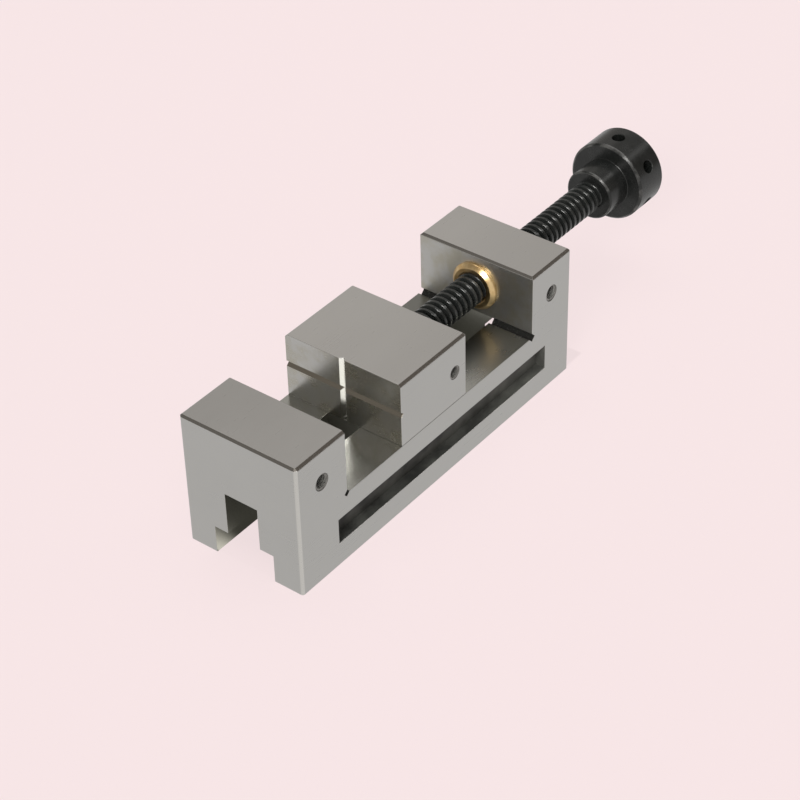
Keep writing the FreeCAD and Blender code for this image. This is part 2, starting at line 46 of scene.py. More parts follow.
def reach(node):
    """The lowest and the highest corner of a node of the frame."""
    points = [vertex.co for vertex in nodes[node].data.vertices]
    return [[pick(point[axis] for point in points) / MM for axis in range(3)] for pick in (min, max)]


# Places read from the frame
(FRONT_X, _, _), (REAR_X, HALF_WIDTH, TOP_Z) = reach("vise_body")
(JAW_FRONT_X, _, _), (JAW_REAR_X, _, _) = reach("movable_jaw")
(SCREW_FRONT_X, _, _), (SCREW_REAR_X, SCREW_RADIUS, screw_top) = reach("lead_screw")
(NUT_FRONT_X, _, _), (NUT_REAR_X, FLANGE_RADIUS, _) = reach("screw_nut")
(HUB_FRONT_X, _, _), (DISC_REAR_X, DISC_RADIUS, _) = reach("knob")
SCREW_Z = screw_top - SCREW_RADIUS

# The rest of the block and of the way
BED_Z = 28.0
FIXED_JAW_X = FRONT_X + 25.0
REAR_BLOCK_X = REAR_X - 23.5
GROOVE_Z = (9.4, 19.5)
GROOVE_X = (FRONT_X + 19.8, REAR_X - 15.1)
GROOVE_DEPTH = 4.0
WAY_HALF_WIDTH = 12.8

# How much further the chamfers reach than those of the solids: along the sides of the tops, at the
# ends of the tops, and at the upright corners of the front
WIDER_SIDE = 0.35
WIDER_END = 0.2
WIDER_CORNER = 0.4

# Gap between the faces of the closed jaws, so that they don't share a plane
CLOSED_GAP = 0.02

# Width of the bevel on the broken edges
BROKEN_EDGE = 0.4

# Turned pieces
PITCH = 3.0
THREAD_FLANK = 15
THREAD_LAND = 1.1
THREAD_PLAY = 0.1
ROOT_RADIUS = 4.25
NOSE_RADIUS = 4.5
NECK_RADIUS = 3.2
NECK_X = (JAW_REAR_X - 8.5, JAW_REAR_X - 5.1)
THREAD_FRONT_X = JAW_REAR_X + 0.3
TAIL_RADIUS = 5.0
BARREL_RADIUS = 8.0
FLANGE_END_X = NUT_FRONT_X + 2.5
HUB_RADIUS = 10.0
DISC_FRONT_X = DISC_REAR_X - 15.7
BAR_HOLE_COUNT = 6
BAR_HOLE_RADIUS = 2.5
BAR_HOLE_DEPTH = 8.0
KEY_ACROSS_FLATS = 8
KEY_DEPTH = 7
SET_SCREW_X = HUB_FRONT_X + 5.5

# Tapped holes in the sides: body, x, radius, pitch, width of the mouth's chamfer, depth that is seen
SIDE_HOLES = {
    "fixed_jaw": ("vise", FRONT_X + 12.5, 3.0, 1.0, 0.3, 14.6),
    "rear_block": ("vise", REAR_X - 11.75, 3.0, 1.0, 0.3, 8.95),
    "movable_jaw": ("jaw", JAW_REAR_X - 6.8, 2.5, 0.8, 0.2, 3.95),
}


# Shader graphs

def shader_math(operation, swapped=False):
    """A method that takes its value and others through one step of shader arithmetic."""
    def method(self, *others):
        values = [*others, self] if swapped else [self, *others]
        return self.graph.node("ShaderNodeMath", {"operation": operation}, values)
    return method


class Value:
    """A shader socket that can be used in plain arithmetic."""

    def __init__(self, graph, socket):
        self.graph = graph
        self.socket = socket

    __add__ = shader_math("ADD")
    __radd__ = __add__
    __sub__ = shader_math("SUBTRACT")
    __rsub__ = shader_math("SUBTRACT", swapped=True)
    __mul__ = shader_math("MULTIPLY")
    __rmul__ = __mul__
    __truediv__ = shader_math("DIVIDE")
    __abs__ = shader_math("ABSOLUTE")
    __gt__ = shader_math("GREATER_THAN")
    __lt__ = shader_math("LESS_THAN")
    root = shader_math("SQRT")
    at_most = shader_math("MINIMUM")

    def toward(self, target, share):
        """This value, brought to a target by a share from 0 to 1."""
        return self + (target - self) * share

    def between(self, low, high):
        """1 where the value lies between two bounds, else 0."""
        return (self > low) * (self < high)

    def near(self, place, reach=0.6):
        """1 where the value lies close to a place, else 0."""
        return self.between(place - reach, place + reach)

    def smooth(self, low, high):
        """0 up to low, 1 from high on, and a smooth step in between."""
        return self.graph.node("ShaderNodeMapRange", {"interpolation_type": "SMOOTHSTEP"},
                               {"Value": self, "From Min": low, "From Max": high})


class Graph:
    """The node graph of a material or of the world."""

    def __init__(self, owner):
        owner.use_nodes = True
        self.tree = owner.node_tree
        self.tree.nodes.clear()

    def node(self, kind, settings=None, inputs=None, output=0):
        """Add a node, with its settings first, and return one of its outputs."""
        made = self.tree.nodes.new(kind)
        for name, value in (settings or {}).items():
            setattr(made, name, value)
        pairs = inputs.items() if isinstance(inputs, dict) else enumerate(inputs or [])
        for key, value in pairs:
            socket = made.inputs[key]
            if isinstance(value, Value):
                self.tree.links.new(value.socket, socket)
            else:
                socket.default_value = value
        return Value(self, made.outputs[output]) if made.outputs else None

    def mix(self, factor, first, second):
        """Blend two colours, going over to the second one with the factor."""
        return self.node("ShaderNodeMix", {"data_type": "RGBA"}, {0: factor, 6: first, 7: second}, 2)

    def vector(self, operation, *values, output=0):
        return self.node("ShaderNodeVectorMath", {"operation": operation}, list(values), output)

    def split(self, vector):
        """The three parts of a vector."""
        return [self.node("ShaderNodeSeparateXYZ", None, [vector], index) for index in range(3)]

    def noise(self, vector, scale, detail=3.0, roughness=0.55):
        return self.node("ShaderNodeTexNoise", None, {
            "Vector": vector, "Scale": scale, "Detail": detail, "Roughness": roughness})

    def stretched(self, place, scales, detail=3.0):
        """Noise with its own scale along each axis."""
        return self.noise(self.vector("MULTIPLY", place, scales), 1.0, detail)

    def bump(self, height, strength):
        return self.node("ShaderNodeBump", None, {
            "Strength": strength, "Distance": 0.00001, "Height": height})

    def principled(self, **sockets):
        """A surface whose sockets are named with underscores for their spaces."""
        return self.node("ShaderNodeBsdfPrincipled", None, {
            name.replace("_", " "): value for name, value in sockets.items()})

    def finish(self, shader, kind="ShaderNodeOutputMaterial"):
        self.node(kind, None, {"Surface": shader})


def start_material(name):
    """An empty material with its graph, and the place and normal on the model in millimetres."""
    material = bpy.data.materials.new(name)
    graph = Graph(material)
    place = graph.vector("MULTIPLY", graph.node("ShaderNodeTexCoord", output=3), (1000.0, 1000.0, 1000.0))
    normal = graph.node("ShaderNodeTexCoord", output=1)
    return material, graph, place, normal


def ground_steel():
    """Ground steel: faint lines from the wheel, smoother clamping faces and bed, blackened grooves."""
    material, graph, place, normal = start_material("ground_steel")
    x, y, z = graph.split(place)
    nx, ny, nz = [abs(part) for part in graph.split(normal)]
    far = abs(y)
    end_face = nx > 0.8

    # The wheel's lines run along the block, and across it on its end faces
    along = graph.stretched(place, (0.03, 4.0, 4.0), 4.0)
    across = graph.stretched(place, (4.0, 0.03, 4.0), 4.0)
    lines = along + (across - along) * end_face
    cloud = graph.stretched(place, (0.03, 0.06, 0.06))
    stain = graph.stretched(place, (0.11, 0.16, 0.14), 5.0)
    speck = graph.noise(place, 2.2, 3.0)
    scratch = graph.stretched(place, (0.16, 5.0, 0.9), 2.0).smooth(0.71, 0.76)

    bed = (nz > 0.9) * z.near(BED_Z) * x.between(FIXED_JAW_X - 1, REAR_BLOCK_X + 1)
    clamping = x.near(JAW_FRONT_X, 1.3) + x.near(FIXED_JAW_X) + x.near(REAR_BLOCK_X)
    clamping = end_face * (z > BED_Z) * clamping
    vee = nx.between(0.5, 0.9) * x.between(JAW_FRONT_X - 0.3, JAW_FRONT_X + 1.5) * (z > BED_Z)
    relief = nx.between(0.5, 0.9) * nz.between(0.5, 0.9) * z.between(BED_Z - 1.9, BED_Z + 2)
    relief = relief * (x < REAR_BLOCK_X + 2.5) * (1.0 - vee)
    groove = far.between(HALF_WIDTH - GROOVE_DEPTH - 0.5, HALF_WIDTH - 0.05)
    groove = groove * z.between(GROOVE_Z[0] - 0.1, GROOVE_Z[1] + 0.1)
    groove = groove * x.between(GROOVE_X[0] - 0.1, GROOVE_X[1] + 0.1)
    way = (far < WAY_HALF_WIDTH + 0.1) * (z < BED_Z + 0.6) * (1.0 - end_face) * (1.0 - bed)
    top_chamfer = nz.between(0.4, 0.93) * (z > TOP_Z - 0.8)
    # Painted shade: the mouths of the side holes are darkened so they show no bright rims.
    mouth = 0.0
    for _, hole_x, radius, _, width, _ in SIDE_HOLES.values():
        from_axis = ((x - hole_x) * (x - hole_x) + (z - SCREW_Z) * (z - SCREW_Z)).root()
        mouth = (from_axis < radius + width + 0.15) + mouth
    mouth = mouth * (far > HALF_WIDTH - 1.0) * (1.0 - (ny > 0.95))
    # Painted shade on the bed in the notch at the foot of the jaw's upright vee. It joins the dark seam
    # where the jaw meets the body.
    foot = (nz > 0.9) * z.near(BED_Z, 0.2) * x.between(JAW_FRONT_X, JAW_FRONT_X + 1.6) * (far < 1.6)
    seam_and_foot_shade = (far > HALF_WIDTH - 0.4) * z.between(BED_Z + 0.02, BED_Z + 0.24)
    seam_and_foot_shade = seam_and_foot_shade * x.between(JAW_FRONT_X, JAW_REAR_X) + foot

    tone = 0.56 + 0.035 * (cloud - 0.5) + 0.022 * (lines - 0.5)
    tone = tone * (1.0 - 0.025 * scratch * (1.0 - bed))
    # Painted light on the tops: beyond the fixed jaw they grow lighter towards +Y. All tops are a little
    # darker, and the fixed jaw's top is darkest.
    top = (nz > 0.95) * (z > TOP_Z - 0.1)
    slope = 0.11 * y.smooth(-24.0, 24.0) * (x > FIXED_JAW_X)
    tone = tone * (1.0 + top * (slope - 0.02 - 0.08 * (x < FIXED_JAW_X)))
    steel = graph.node("ShaderNodeCombineColor", None, [tone, tone * 0.985, tone * 0.955])
    steel = graph.mix(bed * (0.35 + 0.6 * stain), steel, (0.44, 0.455, 0.42, 1))
    # Painted reflection: the bed is darkened towards the rear block, where it mirrors the dark screw above
    # it.
    steel = graph.mix(bed * x.smooth(-30.0, 0.0) * 0.8, steel, (0.20, 0.20, 0.185, 1))
    steel = graph.mix(clamping * stain.smooth(0.35, 0.7), steel, (0.50, 0.475, 0.41, 1))
    # Lit and shaded copies of the vee flanks: the upright vee's flanks get a near-white painted highlight,
    # and the level vee's flanks get a brown painted shade.
    steel = graph.mix(vee, steel, graph.mix(ny > 0.5, (0.34, 0.31, 0.26, 1), (0.96, 0.95, 0.93, 1)))
    # Painted shade on the chamfers at the ends of the tops, darkest on the corner facets.
    steel = graph.mix(top_chamfer * (nx > 0.4) * (0.8 + 0.2 * (ny > 0.4)), steel,
                      graph.mix(ny > 0.4, (0.30, 0.285, 0.265, 1), (0.13, 0.12, 0.11, 1)))
    # Painted shade: the way inside the body is darker than the ground faces, as shade in the channel, with
    # specks.
    painted_way_shade = graph.mix(speck, (0.30, 0.295, 0.26, 1), (0.42, 0.415, 0.37, 1))
    # The blackened grooves: patchy, and lighter towards the rear.
    patchy_and_lighter_rearward = stain.smooth(0.35, 0.7) * 0.5 + 0.5 * x.smooth(-40.0, GROOVE_X[1])
    black = graph.mix(patchy_and_lighter_rearward, (0.030, 0.031, 0.029, 1), (0.14, 0.143, 0.13, 1))
    rough_black = graph.mix(speck.smooth(0.55, 0.8), (0.02, 0.02, 0.018, 1), (0.13, 0.13, 0.12, 1))
    colour = graph.mix(way, steel, painted_way_shade)
    colour = graph.mix(relief, graph.mix(groove, colour, black), rough_black)
    # Mouths of the holes: painted shade. Seam: the dark joint where the jaw meets the body. Foot of the
    # upright vee: painted shade.
    colour = graph.mix(seam_and_foot_shade, graph.mix(mouth, colour, (0.20, 0.195, 0.185, 1)), (0.05, 0.05, 0.045, 1))

    blotches = stain - 0.5
    streaks = 0.05 * (lines - 0.5)
    block_face = end_face * x.near(REAR_BLOCK_X) * (z > BED_Z)
    rough = 0.29 + 0.07 * (lines - 0.5) + 0.05 * (cloud - 0.5) - 0.025 * scratch
    rough = rough.toward(0.22 + 0.07 * x.smooth(-40.0, -5.0) + 0.10 * blotches + streaks, bed)
    rough = rough.toward(0.26 + 0.12 * blotches + streaks, clamping)
    rough = rough.toward(0.43 + 0.10 * blotches, block_face)
    rough = rough.toward(0.19, vee)
    rough = rough.toward(0.15, top_chamfer)
    rough = rough.toward(0.36 + 0.1 * (speck - 0.5), way)
    rough = rough.toward(0.55, (groove + relief + mouth).at_most(1.0))
    metallic = 1.0 - 0.8 * groove - 0.35 * relief
    height = lines * (1.0 - 0.6 * groove) - 0.2 * scratch + 0.8 * speck * (groove + relief)
    graph.finish(graph.principled(Base_Color=colour, Metallic=metallic, Roughness=rough,
                                  Normal=graph.bump(height, 0.03)))
    return material


def turned_metal(name, dark, light, roughness, rings_strength,
                 metallic=1.0, coat=0.0, gloss=0.5, wear_and_highlight=None):
    """Metal turned about the screw's axis, with faint rings from the tool and a cloudy tone."""
    material, graph, place, normal = start_material(name)
    x, y, z = graph.split(place)
    radius = (y * y + (z - SCREW_Z) * (z - SCREW_Z)).root()
    end_face = abs(graph.split(normal)[0]) > 0.8
    station = x + (radius - x) * end_face
    rings = graph.noise(graph.node("ShaderNodeCombineXYZ", None, [station * 4.0, 0.0, 0.0]), 1.0, 3.0)
    cloud = graph.noise(place, 0.22, 4.0)
    speck = graph.noise(place, 1.6, 3.0)
    colour = graph.mix(cloud.smooth(0.3, 0.7), (*dark, 1), (*light, 1))
    if wear_and_highlight:
        # Worn rims, painted lighter than wear alone makes them, as painted highlights.
        worn_and_highlit = wear_and_highlight(x, radius) * cloud.smooth(0.4, 0.65)
        colour = graph.mix(worn_and_highlit * 0.5, colour, (0.14, 0.14, 0.136, 1))
        roughness = roughness - 0.12 * worn_and_highlit
    rough = roughness + 0.12 * (cloud - 0.5) + 0.06 * (rings - 0.5) + 0.05 * (speck - 0.5)
    graph.finish(graph.principled(Base_Color=colour, Metallic=metallic, Roughness=rough,
                                  Specular_IOR_Level=gloss, Coat_Weight=coat, Coat_Roughness=0.12,
                                  Normal=graph.bump(rings + 0.3 * speck, rings_strength)))
    return material


def worn_and_highlit_rims(x, radius):
    """Where hands and bars rub the black off, painted lighter also as highlights: the rims of the hub and
    of the disc.
    """
    at_ends = x.near(DISC_FRONT_X + 0.3, 0.8) + x.near(DISC_REAR_X - 0.3, 0.8)
    on_disc = (radius > DISC_RADIUS - 0.9) * at_ends
    on_hub = radius.near(HUB_RADIUS - 0.2, 0.5) * x.near(HUB_FRONT_X + 0.2, 0.7)
    return on_disc + on_hub


steel = ground_steel()
brass = turned_metal("nut_brass", (0.56, 0.37, 0.165), (0.82, 0.62, 0.34), 0.30, 0.06)
black_oxide = turned_metal("black_oxide", (0.0095, 0.0105, 0.010), (0.0155, 0.0165, 0.016), 0.26, 0.04,
                           metallic=0.0, coat=0.16, gloss=0.33, wear_and_highlight=worn_and_highlit_rims)
screw_oxide = turned_metal("screw_oxide", (0.013, 0.015, 0.0145), (0.022, 0.0235, 0.0225), 0.27, 0.05,
                           metallic=0.0, coat=0.20, gloss=0.42)
screw_black = turned_metal("screw_steel", (0.02, 0.02, 0.021), (0.035, 0.035, 0.036), 0.34, 0.05,
                           metallic=0.4)
washer_steel = turned_metal("washer_steel", (0.36, 0.36, 0.37), (0.46, 0.46, 0.47), 0.28, 0.06)
# Painted shade: the threads inside the side holes are darker than the ground steel outside.
hole_steel = turned_metal("hole_steel", (0.17, 0.17, 0.16), (0.27, 0.27, 0.255), 0.30, 0.03, metallic=0.35)


# Meshes. Turned forms are made about the X axis, in millimetres, and then put in their place

def ring(work, x, radius, count, start=0.0):
    """A ring of vertices about the X axis, or the one vertex on it."""
    turns = [start + 2 * math.pi * step / count for step in range(count if radius > 0 else 1)]
    return [work.verts.new((x, radius * math.cos(turn), radius * math.sin(turn))) for turn in turns]


def lathe(work, outline, count=96):
    """Turn an outline of (x, radius) points about the X axis and return its rings of vertices."""
    rings = [ring(work, x, radius, count) for x, radius in outline]
    for first, second in zip(rings, rings[1:]):
        for step in range(count):
            after = step + 1
            corners = [first[step % len(first)], first[after % len(first)],
                       second[after % len(second)], second[step % len(second)]]
            work.faces.new(list(dict.fromkeys(corners)))
    return rings


def eased(outline, size):
    """Cut each inner corner of an open outline by two points a little way off."""
    points = [outline[0]]
    for before, here, after in zip(outline, outline[1:], outline[2:]):
        for other in (before, after):
            run = math.dist(here, other)
            share = min(size, 0.4 * run) / run
            points.append(tuple(a + (b - a) * share for a, b in zip(here, other)))
    return points + [outline[-1]]


def thread_profile(pitch, low, high, flank, land, ease):
    """(run, radius) points of one pitch: a floor, a flank, a land with eased edges and a flank."""
    slope = (high - low) * math.tan(math.radians(flank))
    floor = pitch - land - 2 * slope
    tilt = slope / (high - low) * ease
    rise = floor + slope
    fall = rise + land
    return [(0.0, low), (floor, low), (rise - tilt, high - ease), (rise + 0.6 * ease, high),
            (fall - 0.6 * ease, high), (fall + tilt, high - ease)]


def wind(work, profile, pitch, start, low, high, steps=64):
    """Wind a thread round the X axis and trim it square; return the rim at each end."""
    turns = math.ceil((high - start) / pitch) + 1
    grid = {}

    def vertex(step, index):
        if index == len(profile):
            return vertex(step + steps, 0)
        if (step, index) not in grid:
            run, radius = profile[index]
            turn = 2 * math.pi * (step % steps) / steps
            grid[step, index] = work.verts.new((start + run + pitch * step / steps,
                                                radius * math.cos(turn), radius * math.sin(turn)))
        return grid[step, index]

    for step in range(turns * steps):
        for index in range(len(profile)):
            work.faces.new([vertex(step, index), vertex(step + 1, index),
                            vertex(step + 1, index + 1), vertex(step, index + 1)])
    rims = []
    for place, side in ((low, -1), (high, 1)):
        geometry = work.verts[:] + work.edges[:] + work.faces[:]
        bmesh.ops.bisect_plane(work, geom=geometry, dist=1e-6, plane_co=(place, 0, 0),
                               plane_no=(side, 0, 0), clear_outer=True)
        rims.append([edge for edge in work.edges if len(edge.link_faces) == 1
                     and all(abs(end.co.x - place) < 1e-4 for end in edge.verts)])
    return rims


def wall_round(work, rims, outline, count=96):
    """Close a wound inner thread with an outer wall, from its first rim to its last."""
    def by_turn(loop):
        order = sorted((math.atan2(vertex.co.z, vertex.co.y), number, vertex)
                       for number, vertex in enumerate(loop))
        return order + [(order[0][0] + 2 * math.pi, 0, order[0][2])]

    rings = lathe(work, outline, count)
    for rim, ring in zip(rims, (rings[0], rings[-1])):
        inner = by_turn(dict.fromkeys(vertex for edge in rim for vertex in edge.verts))
        outer = by_turn(ring)
        here = there = 0
        while here + there < len(inner) + len(outer) - 2:
            corners = [inner[here][2], outer[there][2]]
            outer_done = there == len(outer) - 1
            if outer_done or (here < len(inner) - 1 and inner[here + 1][0] < outer[there + 1][0]):
                here += 1
                corners.append(inner[here][2])
            else:
                there += 1
                corners.append(outer[there][2])
            work.faces.new(corners)


ON_SCREW_AXIS = Matrix.Translation((0, 0, SCREW_Z))


def mesh_from(name, build, place=ON_SCREW_AXIS):
    """Make a mesh by a function that fills a bmesh in millimetres, and put it in its place."""
    work = bmesh.new()
    build(work)
    bmesh.ops.recalc_face_normals(work, faces=work.faces)
    mesh = bpy.data.meshes.new(name)
    work.to_mesh(mesh)
    work.free()
    mesh.transform(Matrix.Scale(MM, 4) @ place)
    return mesh


def in_scene(name, mesh):
    made = bpy.data.objects.new(name, mesh)
    scene.collection.objects.link(made)
    return made


def dress(name, mesh, body, slot, material, *replaced):
    """Put a mesh in the scene on its body, with its material, instead of the nodes it replaces."""
    mesh.materials.clear()
    mesh.materials.append(material)
    made = in_scene(name, mesh)
    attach(made, body)
    if replaced:
        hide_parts(*replaced)
    return made


def shade_round(mesh, angle=20):
    """Shade smoothly, except over edges sharper than an angle."""
    mesh.shade_smooth()
    mesh.set_sharp_from_angle(angle=math.radians(angle))


def cut(blank, cutters):
    """Cut meshes out of a mesh and return what is left."""
    target = in_scene("blank", blank)
    tools = [in_scene("cutter", cutter) for cutter in cutters]
    for tool in tools:
        modifier = target.modifiers.new("cut", "BOOLEAN")
        modifier.solver = "EXACT"
        modifier.object = tool
    mesh = bpy.data.meshes.new_from_object(target.evaluated_get(bpy.context.evaluated_depsgraph_get()))
    for spent in (target, *tools):
        bpy.data.objects.remove(spent)
    work = bmesh.new()
    work.from_mesh(mesh)
    bmesh.ops.remove_doubles(work, verts=work.verts, dist=0.001 * MM)
    work.to_mesh(mesh)
    work.free()
    return mesh


def key_socket(low, high, across_flats, place=ON_SCREW_AXIS):
    """A hexagonal cutter along X."""
    corner = across_flats / math.sqrt(3)

    def build(work):
        rings = []
        for x in (low, high):
            rings.append(ring(work, x, corner, 6, math.pi / 6))
            work.faces.new(rings[-1])
        for step in range(6):
            after = (step + 1) % 6
            work.faces.new([rings[0][step], rings[0][after], rings[1][after], rings[1][step]])
    return mesh_from("key_socket", build, place)


def is_chamfer_end(distance):
    """Whether a distance from a corner is where the chamfers of the solids end."""
    return 0.5 < abs(distance) < 1.0


def widen_chamfers(work):
    """Bring the chamfers to their full width, and set the jaw's face back by the closed gap."""
    for vertex in work.verts:
        x, y, z = vertex.co / MM
        from_side = HALF_WIDTH - abs(y)
        if abs(x - JAW_FRONT_X) < 0.01:
            vertex.co.x += CLOSED_GAP * MM
        if abs(x - FRONT_X) < 0.01 and is_chamfer_end(from_side):
            vertex.co.y -= math.copysign(WIDER_CORNER, y) * MM
        elif is_chamfer_end(x - FRONT_X) and from_side < 0.01:
            vertex.co.x += WIDER_CORNER * MM
        if TOP_Z - 0.7 < z < TOP_Z - 0.5:
            vertex.co.z -= (WIDER_SIDE if from_side < 0.01 else WIDER_END) * MM
        elif z > TOP_Z - 0.01:
            if is_chamfer_end(from_side):
                vertex.co.y -= math.copysign(WIDER_SIDE, y) * MM
            for end in (FRONT_X, FIXED_JAW_X, JAW_FRONT_X, JAW_REAR_X, REAR_BLOCK_X, REAR_X):
                if is_chamfer_end(x - end):
                    vertex.co.x += math.copysign(WIDER_END, x - end) * MM


def break_edges(work, seam_z):
    """Give the outer edges their share of the bevel, and keep the folds between flat faces sharp."""
    weight = work.edges.layers.float.new("bevel_weight_edge")
    for edge in work.edges:
        turn = edge.calc_face_angle(0)
        first, second = (end.co / MM for end in edge.verts)
        at_front = max(abs(first.x - FRONT_X), abs(second.x - FRONT_X)) < 0.7
        upright = at_front and abs(first.z - second.z) > 20
        edge.smooth = turn < math.radians(50 if upright else 25)
        if not edge.is_convex or turn <= math.radians(20) or (first - second).length <= 1.2:
            continue
        on_seam = seam_z and all(abs(end.z - seam_z) < 0.01 and abs(end.y) > HALF_WIDTH - 0.01
                                 for end in (first, second))
        if upright:
            edge[weight] = 1.0
        elif on_seam:
            edge[weight] = 0.5
        elif turn > math.radians(60):
            edge[weight] = 0.22
    for face in work.faces:
        gentle = [edge for edge in face.edges
                  if edge.smooth and edge.calc_face_angle(0) > math.radians(0.5)]
        face.smooth = len(gentle) > 1 and face.calc_area() < 100 * MM ** 2


def make_ground_piece(node, body, seam_z=None):
    """A ground block as the frame has it, with its sharp edges broken as a stone breaks them."""
    mesh = nodes[node].data.copy()
    work = bmesh.new()
    work.from_mesh(mesh)
    bmesh.ops.remove_doubles(work, verts=work.verts, dist=0.002 * MM)
    bmesh.ops.dissolve_limit(work, angle_limit=math.radians(0.4), verts=work.verts, edges=work.edges,
                             use_dissolve_boundaries=False, delimit=set())
    widen_chamfers(work)
    break_edges(work, seam_z)
    work.to_mesh(mesh)
    work.free()
    made = dress(node + "_ground", mesh, body, "ground_steel", steel, node)
    bevel = made.modifiers.new("broken_edges", "BEVEL")
    bevel.limit_method = "WEIGHT"
    bevel.width = BROKEN_EDGE * MM
    bevel.segments = 2
    bevel.use_clamp_overlap = False


def make_lead_screw():
    """The trapezoidal screw with its nose, neck and tail."""
    def build(work):
        profile = thread_profile(PITCH, ROOT_RADIUS, SCREW_RADIUS, THREAD_FLANK, THREAD_LAND, 0.14)
        rims = wind(work, profile, PITCH, THREAD_FRONT_X - 2.5 * PITCH, THREAD_FRONT_X, HUB_FRONT_X)
        for rim in rims:
            bmesh.ops.contextual_create(work, geom=rim)
        nose = [(SCREW_FRONT_X, 0), (SCREW_FRONT_X, NOSE_RADIUS - 0.8), (SCREW_FRONT_X + 0.8, NOSE_RADIUS),
                (NECK_X[0], NOSE_RADIUS), (NECK_X[0], NECK_RADIUS), (NECK_X[1], NECK_RADIUS),
                (NECK_X[1], NOSE_RADIUS), (THREAD_FRONT_X + 0.01, NOSE_RADIUS), (THREAD_FRONT_X + 0.01, 0)]
        lathe(work, eased(nose, 0.08), 64)
        tail = [(HUB_FRONT_X - 0.01, 0), (HUB_FRONT_X - 0.01, TAIL_RADIUS),
                (SCREW_REAR_X - 0.5, TAIL_RADIUS), (SCREW_REAR_X, TAIL_RADIUS - 0.5), (SCREW_REAR_X, 0)]
        lathe(work, tail, 64)
    mesh = mesh_from("lead_screw_threaded", build)
    shade_round(mesh)
    dress("lead_screw_threaded", mesh, "spindle", "black_oxide", screw_oxide, "lead_screw")


def make_nut():
    """The brass nut: bevelled flange, barrel, and inside a thread that runs in the screw's."""
    def build(work):
        profile = thread_profile(PITCH, ROOT_RADIUS + THREAD_PLAY, SCREW_RADIUS + THREAD_PLAY, THREAD_FLANK,
                                 THREAD_LAND + 2 * THREAD_PLAY, 0.1)
        mouth = (NUT_FRONT_X + 0.4, NUT_REAR_X - 0.4)
        rims = wind(work, profile, PITCH, THREAD_FRONT_X - 2.5 * PITCH + THREAD_PLAY, *mouth)
        bevel = 1.4
        wall = [(NUT_FRONT_X, SCREW_RADIUS + 0.55), (NUT_FRONT_X, FLANGE_RADIUS - bevel),
                (NUT_FRONT_X + bevel, FLANGE_RADIUS), (FLANGE_END_X, FLANGE_RADIUS),
                (FLANGE_END_X, BARREL_RADIUS), (NUT_REAR_X - 0.5, BARREL_RADIUS),
                (NUT_REAR_X, BARREL_RADIUS - 0.5), (NUT_REAR_X, SCREW_RADIUS + 0.55)]
        inner = SCREW_RADIUS + 0.15
        wall_round(work, rims, eased([(mouth[0], inner), *wall, (mouth[1], inner)], 0.1), 128)
    mesh = mesh_from("screw_nut_turned", build)
    shade_round(mesh)
    dress("screw_nut_turned", mesh, "vise", "nut_brass", brass, "screw_nut")


def turned_cutter(name, outline, count, place=ON_SCREW_AXIS):
    """A cutter turned about the X axis."""
    return mesh_from(name, lambda work: lathe(work, outline, count), place)


def make_knob():
    """The knob: hub and disc with eased rims, six bar holes, a key socket and the set screw's hole."""
    outline = [(HUB_FRONT_X, 0), (HUB_FRONT_X, HUB_RADIUS - 0.6), (HUB_FRONT_X + 0.6, HUB_RADIUS),
               (DISC_FRONT_X, HUB_RADIUS), (DISC_FRONT_X, DISC_RADIUS - 0.8),
               (DISC_FRONT_X + 0.8, DISC_RADIUS), (DISC_REAR_X - 0.8, DISC_RADIUS),
               (DISC_REAR_X, DISC_RADIUS - 0.8), (DISC_REAR_X, 0)]
    blank = mesh_from("knob_blank", lambda work: lathe(work, eased(outline, 0.16), 160))
    bottom = DISC_RADIUS - BAR_HOLE_DEPTH
    drill = [(bottom, 0), (bottom, BAR_HOLE_RADIUS), (DISC_RADIUS - 0.3, BAR_HOLE_RADIUS),
             (DISC_RADIUS + 1, BAR_HOLE_RADIUS + 1.3), (DISC_RADIUS + 1, 0)]
    upright = Matrix.Rotation(-math.pi / 2, 4, "Y")
    middle = Matrix.Translation(((DISC_FRONT_X + DISC_REAR_X) / 2, 0, SCREW_Z))
    cutters = []
    for number in range(BAR_HOLE_COUNT):
        turn = Matrix.Rotation(2 * math.pi * number / BAR_HOLE_COUNT, 4, "X")
        cutters.append(turned_cutter("bar_hole", drill, 48, middle @ turn @ upright))
    cutters.append(key_socket(DISC_REAR_X - KEY_DEPTH, DISC_REAR_X + 1, KEY_ACROSS_FLATS))
    bore = TAIL_RADIUS + 0.02
    bore_end = HUB_FRONT_X + 18.5
    cutters.append(turned_cutter(
        "tail_bore", [(HUB_FRONT_X - 5, 0), (HUB_FRONT_X - 5, bore), (bore_end, bore), (bore_end, 0)], 64))
    cutters.append(turned_cutter(
        "set_screw_hole", [(4, 0), (4, 2), (HUB_RADIUS + 1, 2), (HUB_RADIUS + 1, 0)], 32,
        Matrix.Translation((SET_SCREW_X, 0, SCREW_Z)) @ Matrix.Rotation(math.pi / 2, 4, "Z")))
    mesh = cut(blank, cutters)
    shade_round(mesh)
    dress("knob_turned", mesh, "spindle", "black_oxide", black_oxide, "knob")


def make_hole_threads():
    """The threads that show inside the tapped holes of both sides."""
    for name, (body, x, radius, pitch, mouth, depth) in SIDE_HOLES.items():
        def build(work):
            profile = thread_profile(pitch, radius - 0.52 * pitch, radius - 0.07, 30, 0.12 * pitch, 0.02)
            rims = wind(work, profile, pitch, mouth - 2 * pitch, mouth, depth, 32)
            wall_round(work, rims, [(mouth, radius + 0.02), (depth, radius + 0.02)], 48)
        for side, sign in (("left", -1), ("right", 1)):
            inwards = Matrix.Rotation(-sign * math.pi / 2, 4, "Z")
            mesh = mesh_from(name + "_thread", build,
                             Matrix.Translation((x, sign * HALF_WIDTH, SCREW_Z)) @ inwards)
            shade_round(mesh, 40)
            dress("%s_thread_%s" % (name, side), mesh, body, "ground_steel", hole_steel)


